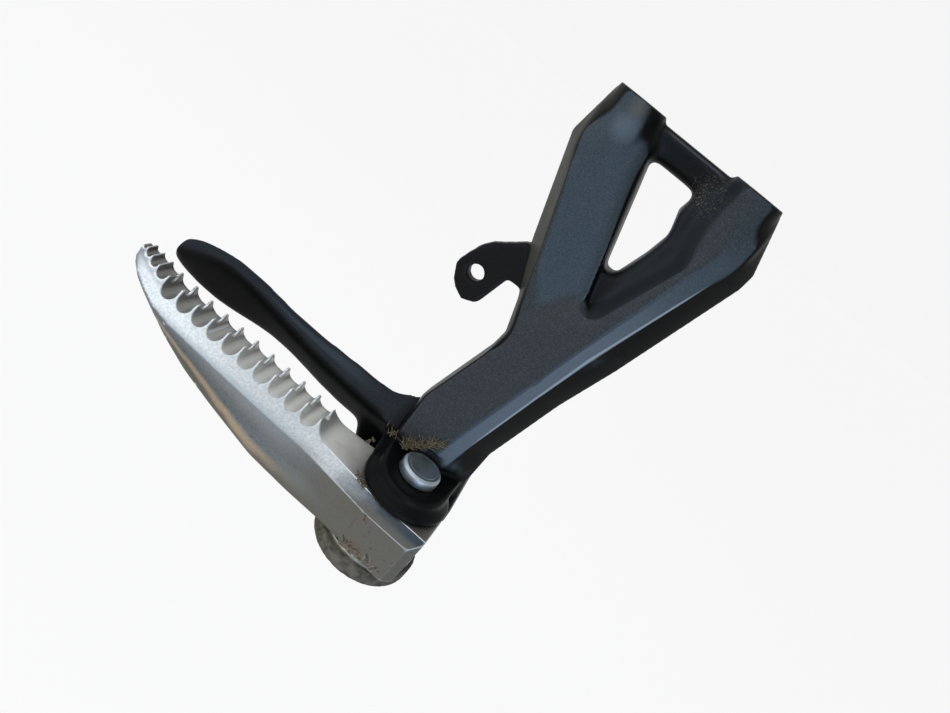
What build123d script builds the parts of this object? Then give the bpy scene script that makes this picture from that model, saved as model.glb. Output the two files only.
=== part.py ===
from build123d import *
from math import cos, radians, sin, sqrt
import os

# Motorcycle footrest hanger, as fitted: +Z up, the footrest's teeth up, +Y towards the bike.
# The origin is midway between the two mounting bolts, on the face that meets the frame.
# The footrest is modelled folded back along -X and swings out to -Y about a vertical pin.

# Mounting
bolt_spacing = 40.0
boss_dia = 16.0
boss_len = 17.0
bolt_hole_dia = 6.8
bolt_hole_depth = 18.0

# Pin, and where it stands from the bolts
pin_drop = 124.0
pin_forward = 16.0
pin_offset = 1.0
pin_dia = 8.0
head_dia = 14.0
head_height = 4.0
head_chamfer = 1.0
pin_fit = 0.05

# Hanger casting
front_depth = 8.0
edge_depth = 6.2
back_depth = 8.0
crossbar_drop = 1.5
crossbar_height = 9.0
crossbar_lean = 4.0
pocket_floor = -2.0
spot_radius = 9.5
upper_ear = 6.8
upper_ear_radius = 15.7
pad_radius = 12.6
flange_height = 2.6
lower_ear = 5.6
lower_ear_radius = 18.4
ear_flare = 4.5
web_front_gap = 0.5
tab_out = 27.0
tab_drop = 4.5
tab_hole_dia = 5.5
tab_thickness = 5.0
guard_length = 120.5

# Footrest casting
root_height = 20.0
root_reach = 15.8
root_front = 17.6
root_corner = 3.0
root_bend = 5.0
root_gap = 0.3
strip = 4.0
belly_corner = 2.0
flute = 0.04
peg_length = 116.5
peg_start = 28.0
peg_centre = -3.0
teeth = 10
tooth_pitch = 6.85
tooth_height = 5.0
tooth_land = 0.7
last_tooth = 34.1
scallop_radius = 2.9
channel_radius = 2.2
channel_depth = 2.6
runout_radius = 6.6
channel_end = 103.0
tip_teeth = 4
tip_pitch = 4.6
tip_shrink = 0.82
tip_bite = 0.7
tip_rise = 0.2
rise_start = 98.0

# Clip, washer and detent
plate_thickness = 1.5
washer_dia = 15.0
washer_thickness = 1.2
clip_thickness = 1.0
clip_dia = 13.0
groove_dia = 6.4
pin_tail = 2.0
ball_dia = 6.0
ball_radius_from_pin = 10.5
ball_angle = -135.0
ball_show = 1.0
ball_hole_depth = 14.0
plate_inset = 1.5
plate_gap = 0.1
washer_fit = 0.15
ball_side_gap = 0.15
track_gap = 0.3
spring_wire = 0.7
spring_dia = 5.2
spring_turns = 4
fold_angle = 90.0

# Places worked out from the sizes above
bolt_x = bolt_spacing / 2
pin_x = -pin_offset
pin_y = -pin_forward
head_z = -pin_drop
spot_z = head_z - head_height
ear_z = spot_z - upper_ear
root_top = ear_z - root_gap
root_bottom = root_top - root_height
plate_top = root_bottom - root_gap
lower_z = plate_top - plate_thickness
base_z = lower_z - lower_ear
web_front = pin_y + root_reach + web_front_gap
front_y = -front_depth
edge_y = -edge_depth
back_y = back_depth
crossbar_low = -crossbar_drop - crossbar_height
pin_axis = (pin_x, pin_y)
pin_line = Axis((pin_x, pin_y, 0), (0, 0, 1))
ball_spot = (pin_x + ball_radius_from_pin * cos(radians(ball_angle)),
             pin_y + ball_radius_from_pin * sin(radians(ball_angle)))
ball_spot_folded = (pin_x + ball_radius_from_pin * cos(radians(ball_angle + fold_angle)),
                    pin_y + ball_radius_from_pin * sin(radians(ball_angle + fold_angle)))
ball_z = root_bottom + ball_dia / 2 - ball_show
track_depth = ball_show - root_gap + track_gap
track_half = sqrt((ball_dia / 2) ** 2 - (plate_top - ball_z) ** 2) + track_gap
track_out = (cos(radians(ball_angle)), sin(radians(ball_angle)), 0)
track_across = (sin(radians(ball_angle)), -cos(radians(ball_angle)), 0)


def at_depth(y):
    """Sketch plane facing the viewer at a depth y, with sketch x = X and sketch y = Z."""
    return Plane(origin=(0, y, 0), x_dir=(1, 0, 0), z_dir=(0, -1, 0))


def at_station(x, y=0.0):
    """Sketch plane across the footrest or the guard arm, with sketch x = Y from y and sketch y = Z."""
    return Plane(origin=(x, y, 0), x_dir=(0, 1, 0), z_dir=(1, 0, 0))


# Outline of the casting at three depths: the front facet, the sharp edge, the widest section.
# Heights hang from the mounting face or stand on the ear, and widths from the bolts or the pin.
shoulder_z = -17.5
fork_z = -64.0
waist_z = -84.5
window_left = -8.8
window_right = 7.4
window_corner = 1.4


def casting_outline(depth):
    """Corners of the casting, clockwise from the right boss, at depth 0, 1 or 2."""
    corners = (
        ((bolt_x + 3.6, -12.5), (bolt_x + 9.6, -11), (bolt_x + 8.4, -crossbar_drop)),
        ((bolt_x + 2.4, shoulder_z), (bolt_x + 8.4, shoulder_z), (bolt_x + 14, shoulder_z)),
        ((bolt_x + 1.4, shoulder_z - 5), (bolt_x + 7.0, shoulder_z - 5), (bolt_x + 13.8, shoulder_z - 5)),
        ((11.8, fork_z), (15.8, fork_z), (24.2, fork_z)),
        ((7.2, waist_z), (11.6, waist_z), (18.6, waist_z)),
        ((pin_x + 1.6, spot_z + 14), (pin_x + 6.6, spot_z + 14), (pin_x + 13.6, spot_z + 14)),
        ((pin_x - 2, ear_z), (pin_x + 3, ear_z), (pin_x + 13.8, ear_z)),
        ((pin_x - 13.6, ear_z), (pin_x - 14.6, ear_z), (pin_x - 15.7, ear_z)),
        ((pin_x - 14.6, spot_z + 20), (pin_x - 15.4, spot_z + 18), (pin_x - 16.4, spot_z + 15)),
        ((-9.4, waist_z), (-9.7, waist_z), (-10.1, waist_z)),
        ((-7.4, fork_z - 9), (-8.0, fork_z - 10), (-9.4, fork_z - 13)),
        ((-9.6, fork_z - 2), (-10.6, fork_z - 2), (-13.0, fork_z - 2)),
        ((-bolt_x + 4.6, -49), (-bolt_x + 3.4, -49), (-bolt_x - 0.8, -49)),
        ((-bolt_x - 6.4, shoulder_z), (-bolt_x - 7.6, shoulder_z), (-bolt_x - 11, shoulder_z)),
        ((-bolt_x - 7.6, -13), (-bolt_x - 8.0, -12), (-bolt_x - 8.4, -crossbar_drop)),
    )
    return [corner[depth] for corner in corners]


# Pocket between the arms: steep beside the left arm, a long slope beside the right one
def pocket_outline(floor):
    """Corners of the pocket at the front or, where floor is 1, at its floor."""
    corners = (
        ((-bolt_x + 7.0, 4), (-bolt_x + 8.0, 4)),
        ((-5.8, shoulder_z - 6), (-5.2, shoulder_z - 6)),
        ((3.2, fork_z + 12), (3.4, fork_z + 13)),
        ((5.2, fork_z + 7), (4.6, fork_z + 11.5)),
        ((9.4, fork_z + 9), (6.8, fork_z + 14)),
        ((13.6, fork_z + 22), (9.4, fork_z + 24)),
        ((bolt_x - 1.2, shoulder_z - 10), (13.2, shoulder_z - 11)),
        ((bolt_x - 0.2, shoulder_z - 1), (14.4, shoulder_z - 2)),
        ((bolt_x - 3.0, -7), (bolt_x - 6.6, -8)),
        ((bolt_x - 7.0, 4), (bolt_x - 8.0, 4)),
    )
    return [corner[floor] for corner in corners]


with BuildPart() as boss:
    with BuildSketch(Plane.XZ):
        with BuildLine():
            Polyline(
                (0, 0),
                (boss_dia / 2, 0),
                (boss_dia / 2, -boss_len),
                (boss_dia / 4, -2 * boss_len),
                (0, -2 * boss_len),
                close=True,
            )
        make_face()
    revolve(axis=Axis.Z)

# The left arm's front leans back from its outer ridge to the pocket, below a ramp at the fork
lean_plane = Plane(
    origin=(-7.4, front_y, fork_z - 9),
    x_dir=Vector(-bolt_x + 1, 0, 56).normalized(),
    z_dir=Vector(0.19, -0.98, 0.07).normalized(),
)
with BuildPart() as arm_relief:
    with BuildSketch(at_depth(front_y - 1)):
        with BuildLine():
            Polyline(
                (-8.4, fork_z - 9),
                (6.8, fork_z + 12),
                (-2.0, shoulder_z),
                (-bolt_x + 8, 4),
                (-bolt_x - 20, 4),
                close=True,
            )
        make_face()
    extrude(amount=-6, taper=40)
    split(bisect_by=lean_plane, keep=Keep.TOP)

# Guard arm beside the footrest. Each station gives its distance from the pin, then heights from the
# pin's head for the back edge, the ridge, the band below it and the bottom, and the band's depth.
guard_back = back_y - 2
guard_ridge = pin_y + 17
guard_bottom = pin_y + 19.5
guard_stations = (
    (14, 9.0, 1.0, -4.8, -17.2, pin_y + 13.0),
    (22, 3.6, 0.2, -5.2, -17.2, pin_y + 13.0),
    (32, 1.8, -1.2, -5.4, -17.0, pin_y + 13.5),
    (50, 0.9, -1.8, -5.5, -16.4, pin_y + 14.3),
    (73, 0.6, -0.6, -3.9, -15.0, pin_y + 15.5),
    (90, 1.8, -0.4, -2.2, -18.0, pin_y + 16.5),
    (106, 0.0, -4.4, -5.6, -19.0, pin_y + 16.7),
    (114, -2.6, -9.2, -10.2, -18.0, pin_y + 16.9),
    (guard_length, -7.0, -11.6, -12.2, -15.6, pin_y + 17.2),
)
with BuildPart() as guard_arm:
    for along, top, ridge, band, low, band_depth in guard_stations:
        with BuildSketch(at_station(pin_x - along)):
            with BuildLine():
                Polyline(
                    (guard_back, head_z + top),
                    (guard_ridge, head_z + ridge),
                    (band_depth, head_z + band),
                    (guard_bottom, head_z + low),
                    (guard_back, head_z + low),
                    close=True,
                )
            make_face()
    loft()

# Upper ear of the clevis: a flat pad for the pin's head on a wider stepped flange
with BuildPart() as ear:
    with BuildSketch(Plane(origin=(pin_x, pin_y, 0), x_dir=(1, 0, 0), z_dir=(0, -1, 0))):
        with BuildLine():
            Polyline(
                (0, spot_z),
                (pad_radius - 0.6, spot_z),
                (pad_radius, spot_z - 0.6),
                (pad_radius + 0.2, ear_z + flange_height + 1.6),
                (upper_ear_radius - 0.6, ear_z + flange_height),
                (upper_ear_radius, ear_z + flange_height - 0.8),
                (upper_ear_radius, ear_z),
                (0, ear_z),
                close=True,
            )
        make_face()
    revolve(axis=pin_line)

with BuildPart() as hanger:
    # Front facets, one ring of flat faces after another, then the straight back
    with BuildSketch(at_depth(front_y)):
        with BuildLine():
            Polyline(*casting_outline(0), close=True)
        make_face()
    with BuildSketch(at_depth(edge_y)):
        with BuildLine():
            Polyline(*casting_outline(1), close=True)
        make_face()
    loft(ruled=True)
    with BuildSketch(at_depth(edge_y)):
        with BuildLine():
            Polyline(*casting_outline(1), close=True)
        make_face()
    with BuildSketch(at_depth(0)):
        with BuildLine():
            Polyline(*casting_outline(2), close=True)
        make_face()
    loft(ruled=True)
    with BuildSketch(at_depth(0)):
        with BuildLine():
            Polyline(*casting_outline(2), close=True)
        make_face()
    extrude(amount=-back_depth)
    add(arm_relief.part, mode=Mode.SUBTRACT)
    # Pocket and window
    with BuildSketch(at_depth(front_y - 1)):
        with BuildLine():
            Polyline(*pocket_outline(0), close=True)
        make_face()
    with BuildSketch(at_depth(pocket_floor)):
        with BuildLine():
            Polyline(*pocket_outline(1), close=True)
        make_face()
    loft(ruled=True, mode=Mode.SUBTRACT)
    with BuildSketch(at_depth(pocket_floor - 1)) as window:
        with BuildLine():
            Polyline(
                (window_left, crossbar_low),
                (window_right, crossbar_low),
                (6.4, shoulder_z + 1),
                (9.0, shoulder_z - 6),
                (7.6, shoulder_z - 14),
                (4.6, fork_z + 22),
                (1.0, fork_z + 22),
                close=True,
            )
        make_face()
        fillet(window.vertices(), window_corner)
    extrude(amount=-back_depth - 4, mode=Mode.SUBTRACT)
    # The crossbar's front leans back to its lower edge: a wedge that starts just off the pocket's floor
    lean_low = crossbar_low - 1
    with BuildSketch(at_depth(pocket_floor - 0.1)):
        with BuildLine():
            Polyline(
                (window_left - 2.6, -crossbar_drop),
                (window_right + 1.6, -crossbar_drop),
                (window_right, lean_low),
                (window_left, lean_low),
                close=True,
            )
        make_face()
    with BuildSketch(at_depth(pocket_floor + crossbar_lean)):
        with BuildLine():
            Polyline(
                (window_left, lean_low + 0.2),
                (window_right, lean_low + 0.2),
                (window_right, lean_low),
                (window_left, lean_low),
                close=True,
            )
        make_face()
    loft(ruled=True, mode=Mode.SUBTRACT)
    # Bosses
    with Locations((bolt_x, 0, 0), (-bolt_x, 0, 0)):
        add(boss.part)
    # Clevis ears and the web behind the footrest
    add(ear.part)
    with BuildSketch(Plane.XY.offset(spot_z)):
        with BuildLine():
            Polyline(
                (pin_x + pad_radius, pin_y),
                (pin_x - pad_radius, pin_y),
                (pin_x - pad_radius - ear_flare, back_y),
                (pin_x + pad_radius, back_y),
                close=True,
            )
        make_face()
    extrude(amount=-upper_ear)
    with BuildSketch(Plane.XY.offset(ear_z)):
        with BuildLine():
            Polyline(
                (pin_x, pin_y),
                (pin_x - upper_ear_radius, pin_y),
                (pin_x - upper_ear_radius - ear_flare, back_y),
                (pin_x, back_y),
                close=True,
            )
        make_face()
    extrude(amount=flange_height - 0.4)
    with BuildSketch(Plane.XY.offset(lower_z)):
        with Locations(pin_axis):
            Circle(lower_ear_radius)
        with Locations((pin_x - 1, (pin_y + back_y) / 2)):
            Rectangle(2 * lower_ear_radius - 5, back_y - pin_y)
    extrude(amount=-lower_ear)
    with BuildSketch(at_depth(web_front)):
        with BuildLine():
            Polyline(
                (pin_x + 13.8, spot_z),
                (pin_x + 17, spot_z - 18),
                (pin_x + 15.5, base_z),
                (pin_x - 18, base_z),
                (pin_x - 28, ear_z - 8),
                (pin_x - 28, head_z - 9),
                (pin_x - 15.7, spot_z),
                close=True,
            )
        make_face()
    extrude(amount=web_front - back_y)
    add(guard_arm.part)
    # Seat for the pin's head, and the pin's bores
    with BuildSketch(Plane.XY.offset(spot_z)):
        with Locations(pin_axis):
            Circle(spot_radius)
    extrude(amount=head_height + head_chamfer, mode=Mode.SUBTRACT)
    with BuildSketch(Plane.XY.offset(spot_z + 1)):
        with Locations(pin_axis):
            Circle(pin_dia / 2 + pin_fit)
    extrude(amount=base_z - spot_z - 2, mode=Mode.SUBTRACT)
    # Tab
    with BuildSketch(at_depth(-1)):
        with BuildLine():
            Polyline(
                (-12.0, fork_z + 1),
                (-19.0, fork_z + 0.5),
                (-22.0, fork_z - 11.5),
                (-26.8, fork_z - 16),
                (-36.4, fork_z - 7),
                (-35.0, fork_z - 0.5),
                (-26.5, fork_z + 10.4),
                (-14.0, fork_z + 16.5),
                close=True,
            )
        make_face()
    extrude(amount=-tab_thickness)
    with BuildSketch(at_depth(-2)):
        with Locations((pin_x - tab_out, fork_z - tab_drop)):
            Circle(tab_hole_dia / 2)
    extrude(amount=-tab_thickness - 2, mode=Mode.SUBTRACT)
    # Bolt holes
    with Locations((bolt_x, 0, 0), (-bolt_x, 0, 0)):
        Hole(bolt_hole_dia / 2, depth=bolt_hole_depth)
hanger.part.label = "hanger"

# Root of the footrest: a block round the pin, with the strip along its front and back edges
foot_y = pin_y + peg_centre
deck_z = root_top
root_half = root_front + peg_centre
with BuildPart() as foot_root:
    with BuildSketch(Plane.XY.offset(root_bottom)):
        with BuildLine():
            Polyline(
                (pin_x - root_reach * cos(radians(45)), pin_y + root_reach * sin(radians(45))),
                (pin_x - root_bend, pin_y - root_front),
                (pin_x + root_reach, pin_y - root_front),
                (pin_x + root_reach, pin_y),
            )
            ThreePointArc(
                (pin_x + root_reach, pin_y),
                (pin_x + root_reach * cos(radians(67.5)), pin_y + root_reach * sin(radians(67.5))),
                (pin_x - root_reach * cos(radians(45)), pin_y + root_reach * sin(radians(45))),
            )
        make_face()
    extrude(amount=root_height)
    front_top = foot_root.edges().group_by(Axis.Z)[-1].sort_by(Axis.Y)[0]
    chamfer(front_top, strip)
    front_corner = foot_root.edges().filter_by(Axis.Z).sort_by_distance(
        (pin_x + root_reach, pin_y - root_front, root_bottom)
    )[0]
    chamfer(front_corner, root_corner)

# Footrest. Each station gives its distance from the pin, its half widths at the crest, the deck,
# the strip and the bottom, its depth below the deck and the deck's rise towards the tip.
stations = (
    (root_bend, 4.2, root_half - strip, root_half, root_half, root_height, 0.0),
    (peg_start, 4.2, 7.4, 11.4, root_half, root_height, 0.0),
    (45, 4.2, 7.2, 11.2, 13.6, root_height, 0.0),
    (66, 4.1, 7.0, 10.8, 11.2, root_height - 2.4, 0.0),
    (80, 4.0, 6.8, 10.4, 9.6, root_height - 4.6, 0.0),
    (92, 3.9, 6.5, 9.9, 7.8, root_height - 7.8, 0.0),
    (100, 3.7, 6.0, 9.0, 6.4, root_height - 10.8, 0.6),
    (107, 3.4, 5.0, 7.4, 4.8, root_height - 13.6, 2.4),
    (112, 2.9, 4.0, 5.8, 3.6, root_height - 15.8, 4.0),
    (peg_length, 1.8, 2.2, 2.8, 1.8, root_height - 19.0, 5.6),
)
with BuildPart() as footrest:
    for along, crest, deck, edge, base, depth, rise in stations:
        top = deck_z + rise
        low = top - depth - rise
        drop = min(strip, 0.4 * (top - low))
        corner = min(belly_corner, 0.2 * (top - low), 0.8 * base)
        with BuildSketch(at_station(pin_x - along, foot_y)):
            with BuildLine():
                Polyline(
                    (0, top + tooth_height - rise / 3),
                    (crest, top + tooth_height - rise / 3),
                    (deck, top),
                    (edge, top - drop),
                    ((edge + base) / 2 - flute * (top - low), (top - drop + low + corner) / 2),
                    (base, low + corner),
                    (base - corner, low),
                    (0, low),
                )
                mirror(about=Plane.YZ)
            make_face()
    loft(ruled=True)
    add(foot_root.part)
    # Scallops between the teeth, the run-out behind the last tooth and the channel between the rows
    with BuildSketch(at_depth(foot_y)):
        with Locations(*[
            (pin_x - last_tooth - (count + 0.5) * tooth_pitch, deck_z + scallop_radius)
            for count in range(teeth)
        ]):
            Circle(scallop_radius)
            Polygon(
                (-scallop_radius, 0),
                (scallop_radius, 0),
                ((tooth_pitch - tooth_land) / 2, 6),
                ((tooth_land - tooth_pitch) / 2, 6),
                align=None,
            )
        with Locations((pin_x - peg_start, deck_z + runout_radius)):
            Circle(runout_radius)
            Rectangle(peg_start, 2 * runout_radius, align=(Align.MIN, Align.CENTER))
    extrude(amount=root_half, both=True, mode=Mode.SUBTRACT)
    with BuildSketch(at_station(pin_x - peg_start, foot_y)):
        with Locations((0, deck_z + channel_depth + channel_radius)):
            Circle(channel_radius)
            with Locations((0, 4)):
                Rectangle(2 * channel_radius, 8)
    extrude(amount=peg_start - channel_end, mode=Mode.SUBTRACT)
    # Scallops at the tip, each smaller than the one before it, along the rising crest
    tip_start = last_tooth + teeth * tooth_pitch
    with BuildSketch(at_depth(foot_y)):
        for count in range(tip_teeth):
            width = tip_pitch * tip_shrink ** count
            along = tip_start + tip_pitch * (1 - tip_shrink ** count) / (1 - tip_shrink) + width / 2
            radius = (width - tooth_land) / 2
            crest_z = deck_z + tooth_height + tip_rise * (along - rise_start)
            with Locations((pin_x - along, crest_z - tip_bite * width + radius)):
                Circle(radius)
                Polygon((-radius, 0), (radius, 0), (1.3 * radius, 6), (-1.3 * radius, 6), align=None)
    extrude(amount=root_half, both=True, mode=Mode.SUBTRACT)
    # Bore for the pin, and the blind hole for the spring and the ball
    with BuildSketch(Plane.XY.offset(root_top + 1)):
        with Locations(pin_axis):
            Circle(pin_dia / 2 + pin_fit)
    extrude(amount=-root_height - 2, mode=Mode.SUBTRACT)
    with BuildSketch(Plane.XY.offset(root_bottom)):
        with Locations(ball_spot):
            Circle(ball_dia / 2 + ball_side_gap)
    extrude(amount=ball_hole_depth, mode=Mode.SUBTRACT)
footrest.part.label = "footrest"

# Clevis pin, dropped in from above, with a groove for its clip
clip_z = base_z - washer_thickness
with BuildPart() as hinge_pin:
    with BuildSketch(Plane.XY.offset(spot_z)):
        with Locations(pin_axis):
            Circle(head_dia / 2)
    extrude(amount=head_height)
    chamfer(hinge_pin.edges().group_by(Axis.Z)[-1], head_chamfer)
    with BuildSketch(Plane.XY.offset(spot_z)):
        with Locations(pin_axis):
            Circle(pin_dia / 2)
    extrude(amount=clip_z - clip_thickness - pin_tail - spot_z)
    chamfer(hinge_pin.edges().group_by(Axis.Z)[0], pin_tail / 4)
    with BuildSketch(Plane.XY.offset(clip_z)):
        with Locations(pin_axis):
            Circle(pin_dia / 2 + 1)
            Circle(groove_dia / 2, mode=Mode.SUBTRACT)
    extrude(amount=-clip_thickness, mode=Mode.SUBTRACT)
hinge_pin.part.label = "hinge_pin"

with BuildPart() as pin_washer:
    with BuildSketch(Plane.XY.offset(base_z)):
        with Locations(pin_axis):
            Circle(washer_dia / 2)
            Circle(pin_dia / 2 + washer_fit, mode=Mode.SUBTRACT)
    extrude(amount=-washer_thickness)
pin_washer.part.label = "pin_washer"

# E-clip: a ring open at one side, with three lobes that reach into the groove
with BuildPart() as pin_clip:
    with BuildSketch(Plane.XY.offset(clip_z)):
        with Locations(pin_axis):
            Circle(clip_dia / 2)
            Circle(pin_dia / 2 + 0.6, mode=Mode.SUBTRACT)
            with PolarLocations(pin_dia / 2 - 0.1, 3, start_angle=90, angular_range=360):
                Rectangle(2 * (pin_dia - groove_dia) / 2 + 0.2, 2.2)
            Circle(groove_dia / 2, mode=Mode.SUBTRACT)
            with Locations((0, -clip_dia / 2)):
                Rectangle(groove_dia - 0.8, clip_dia / 2, mode=Mode.SUBTRACT)
    extrude(amount=-clip_thickness)
pin_clip.part.label = "pin_clip"

# Detent: a steel plate on the lower ear with a track for the ball and a hole at each end
with BuildPart() as detent_plate:
    with BuildSketch(Plane.XY.offset(lower_z)):
        with Locations(pin_axis):
            Circle(lower_ear_radius - plate_inset)
        with Locations((pin_x, web_front - plate_gap + lower_ear_radius)):
            Rectangle(4 * lower_ear_radius, 2 * lower_ear_radius, mode=Mode.SUBTRACT)
        with Locations(pin_axis):
            Circle(pin_dia / 2 + washer_fit, mode=Mode.SUBTRACT)
    extrude(amount=plate_thickness)
    with BuildSketch(Plane(origin=(*ball_spot, 0), x_dir=track_out, z_dir=track_across)):
        with BuildLine():
            Polyline(
                (-track_half, plate_top + 1),
                (-track_half, plate_top),
                (-track_half / 2, plate_top - track_depth),
                (track_half / 2, plate_top - track_depth),
                (track_half, plate_top),
                (track_half, plate_top + 1),
                close=True,
            )
        make_face()
    revolve(axis=pin_line, revolution_arc=fold_angle, mode=Mode.SUBTRACT)
    with BuildSketch(Plane.XY.offset(lower_z)):
        with Locations(ball_spot, ball_spot_folded):
            Circle(track_half)
    extrude(amount=plate_thickness, mode=Mode.SUBTRACT)
detent_plate.part.label = "detent_plate"

with BuildPart() as detent_ball:
    with Locations((*ball_spot, ball_z)):
        Sphere(ball_dia / 2)
detent_ball.part.label = "detent_ball"

# Spring: an open coil between the ball and the blind end of its hole
with BuildPart() as detent_spring:
    spring_bottom = ball_z + ball_dia / 2 + spring_wire / 2
    spring_top = root_bottom + ball_hole_depth - spring_wire / 2
    with BuildLine() as coil:
        Helix(
            pitch=(spring_top - spring_bottom) / spring_turns,
            height=spring_top - spring_bottom,
            radius=(spring_dia - spring_wire) / 2,
            center=(*ball_spot, spring_bottom),
        )
    with BuildSketch(Plane(origin=coil.line @ 0, z_dir=coil.line % 0)):
        RegularPolygon(spring_wire / 2, 4)
    sweep(path=coil.line, is_frenet=True)
detent_spring.part.label = "detent_spring"

os.makedirs("parts", exist_ok=True)
export_step(hanger.part, "parts/hanger.step")
export_step(footrest.part, "parts/footrest.step")
export_step(hinge_pin.part, "parts/hinge_pin.step")
export_step(pin_washer.part, "parts/pin_washer.step")
export_step(pin_clip.part, "parts/pin_clip.step")
export_step(detent_plate.part, "parts/detent_plate.step")
export_step(detent_ball.part, "parts/detent_ball.step")
export_step(detent_spring.part, "parts/detent_spring.step")
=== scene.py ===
"""Dresses the cast footrest hanger: satin paint, bare aluminium, turned steel, dry grass, floor and light."""

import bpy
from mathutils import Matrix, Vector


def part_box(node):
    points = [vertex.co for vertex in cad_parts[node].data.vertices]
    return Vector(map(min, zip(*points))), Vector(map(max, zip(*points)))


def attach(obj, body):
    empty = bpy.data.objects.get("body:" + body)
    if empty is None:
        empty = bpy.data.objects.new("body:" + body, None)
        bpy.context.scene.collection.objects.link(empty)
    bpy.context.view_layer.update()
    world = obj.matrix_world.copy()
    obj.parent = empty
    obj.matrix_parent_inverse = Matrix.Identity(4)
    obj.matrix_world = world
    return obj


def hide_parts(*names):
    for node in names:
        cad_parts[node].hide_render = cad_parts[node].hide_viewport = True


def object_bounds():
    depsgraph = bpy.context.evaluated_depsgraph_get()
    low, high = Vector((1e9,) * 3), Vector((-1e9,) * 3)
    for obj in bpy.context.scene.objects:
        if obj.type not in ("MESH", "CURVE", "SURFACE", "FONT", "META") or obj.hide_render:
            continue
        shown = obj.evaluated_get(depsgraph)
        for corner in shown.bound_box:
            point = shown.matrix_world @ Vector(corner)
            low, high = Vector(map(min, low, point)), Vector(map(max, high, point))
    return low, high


bl_info = {
    "name": "Footrest Hanger Finish",
    "version": (1, 0, 0),
    "blender": (4, 5, 0),
    "location": "View3D > Sidebar > Footrest",
    "description": "Finishes a motorcycle footrest hanger round its CAD frame",
    "category": "Object",
}

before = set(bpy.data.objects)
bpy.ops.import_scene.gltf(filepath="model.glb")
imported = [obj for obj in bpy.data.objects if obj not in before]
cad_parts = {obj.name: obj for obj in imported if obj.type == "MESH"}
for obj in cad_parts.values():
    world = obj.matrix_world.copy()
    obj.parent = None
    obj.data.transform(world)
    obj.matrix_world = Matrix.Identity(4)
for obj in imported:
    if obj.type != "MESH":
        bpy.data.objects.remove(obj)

import math
import random

import bmesh
import bpy
from bpy.props import FloatProperty, FloatVectorProperty, IntProperty, PointerProperty
from mathutils import Matrix, Vector, noise
from mathutils.kdtree import KDTree

MM = 0.001
CAD_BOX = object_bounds()

# Places read from the frame: the pin and its head, the footrest and the hanger
PIN_LOW, PIN_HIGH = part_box("hinge_pin")
FOOT_LOW, FOOT_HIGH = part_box("footrest")
HANGER_LOW, HANGER_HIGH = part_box("hanger")
PLATE_LOW, PLATE_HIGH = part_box("detent_plate")
PIN_X = (PIN_LOW.x + PIN_HIGH.x) / 2
PIN_Y = (PIN_LOW.y + PIN_HIGH.y) / 2
HEAD_RADIUS = (PIN_HIGH.x - PIN_LOW.x) / 2

# Sizes of the pin's head, shank and bore, of the footrest's root and of the hanger's front
HEAD_HEIGHT = 4.0 * MM
SHANK_RADIUS = 4.0 * MM
BORE_RADIUS = SHANK_RADIUS + 0.05 * MM
ROOT_GAP = 0.3 * MM
ROOT_HEIGHT = 20.0 * MM
FRONT_Y = -8.0 * MM
PAD_Z = PIN_HIGH.z - HEAD_HEIGHT
DECK_Z = PLATE_HIGH.z + ROOT_GAP + ROOT_HEIGHT

# Route of the grass along the back of the pin's head and up the arm's front, in millimetres, the small
# tuft beside it, and the crumbs' places on the footrest's deck, just outside the upper ear's rim
TUFT = ((-10.5, -11.5, -126.8), (-8.6, -9.6, -125.6), (-5.5, -8.6, -122.8), (-2.8, -8.5, -119.8),
        (-0.7, -8.4, -117.6))
SMALL_TUFT = (-16.9, -9.0, -127.4)
CRUMB_SPOTS = ((-12.8, -28.2), (-11.6, -29.0), (-14.6, -26.6), (-20.6, -7.2), (-20.8, -9.4))

# The camera's place in millimetres, its right and up, its focal length in pixels and the image's width
CAMERA_PLACE = (3.09, -209.2, 2.15)
CAMERA_RIGHT = (0.7555, 0.3091, 0.5777)
CAMERA_UP = (-0.6519, 0.2673, 0.7096)
FOCAL_PIXELS = 714
IMAGE_WIDTH = 950
SENSOR_WIDTH = 36.0

# How strongly the room shows behind the part, and the share of the floor's white that glows
ROOM_SEEN = 0.935
FLOOR_GLOW = 0.9

# Point attribute that holds how far a mark pressed the footrest's skin in, in millimetres
PRESSED = "pressed"

# Node kinds that the materials use again and again, and the Mix node's socket numbers for colours
COLOUR_MIX = ("ShaderNodeMix", {"data_type": "RGBA"})
MULTIPLY = ("ShaderNodeMath", {"operation": "MULTIPLY"})
MULTIPLY_ADD = ("ShaderNodeMath", {"operation": "MULTIPLY_ADD"})
LARGER = ("ShaderNodeMath", {"operation": "MAXIMUM"})
SMOOTH_RANGE = ("ShaderNodeMapRange", {"interpolation_type": "SMOOTHSTEP"})
COLOUR_A = 6
COLOUR_B = 7
COLOUR_OUT = 2


def linear(code):
    """Linear colour with alpha from an sRGB hex value."""
    tones = [int(code[start:start + 2], 16) / 255 for start in (1, 3, 5)]
    return (*(tone / 12.92 if tone <= 0.04045 else ((tone + 0.055) / 1.055) ** 2.4 for tone in tones), 1.0)


def per(size_mm):
    """Texture scale whose pattern repeats every so many millimetres in object coordinates."""
    return 1 / (size_mm * MM)


def colour_property(name, description, code):
    """Colour setting with an sRGB hex default."""
    return FloatVectorProperty(
        name=name, description=description, subtype="COLOR", size=4, min=0, max=1, default=linear(code))


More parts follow.
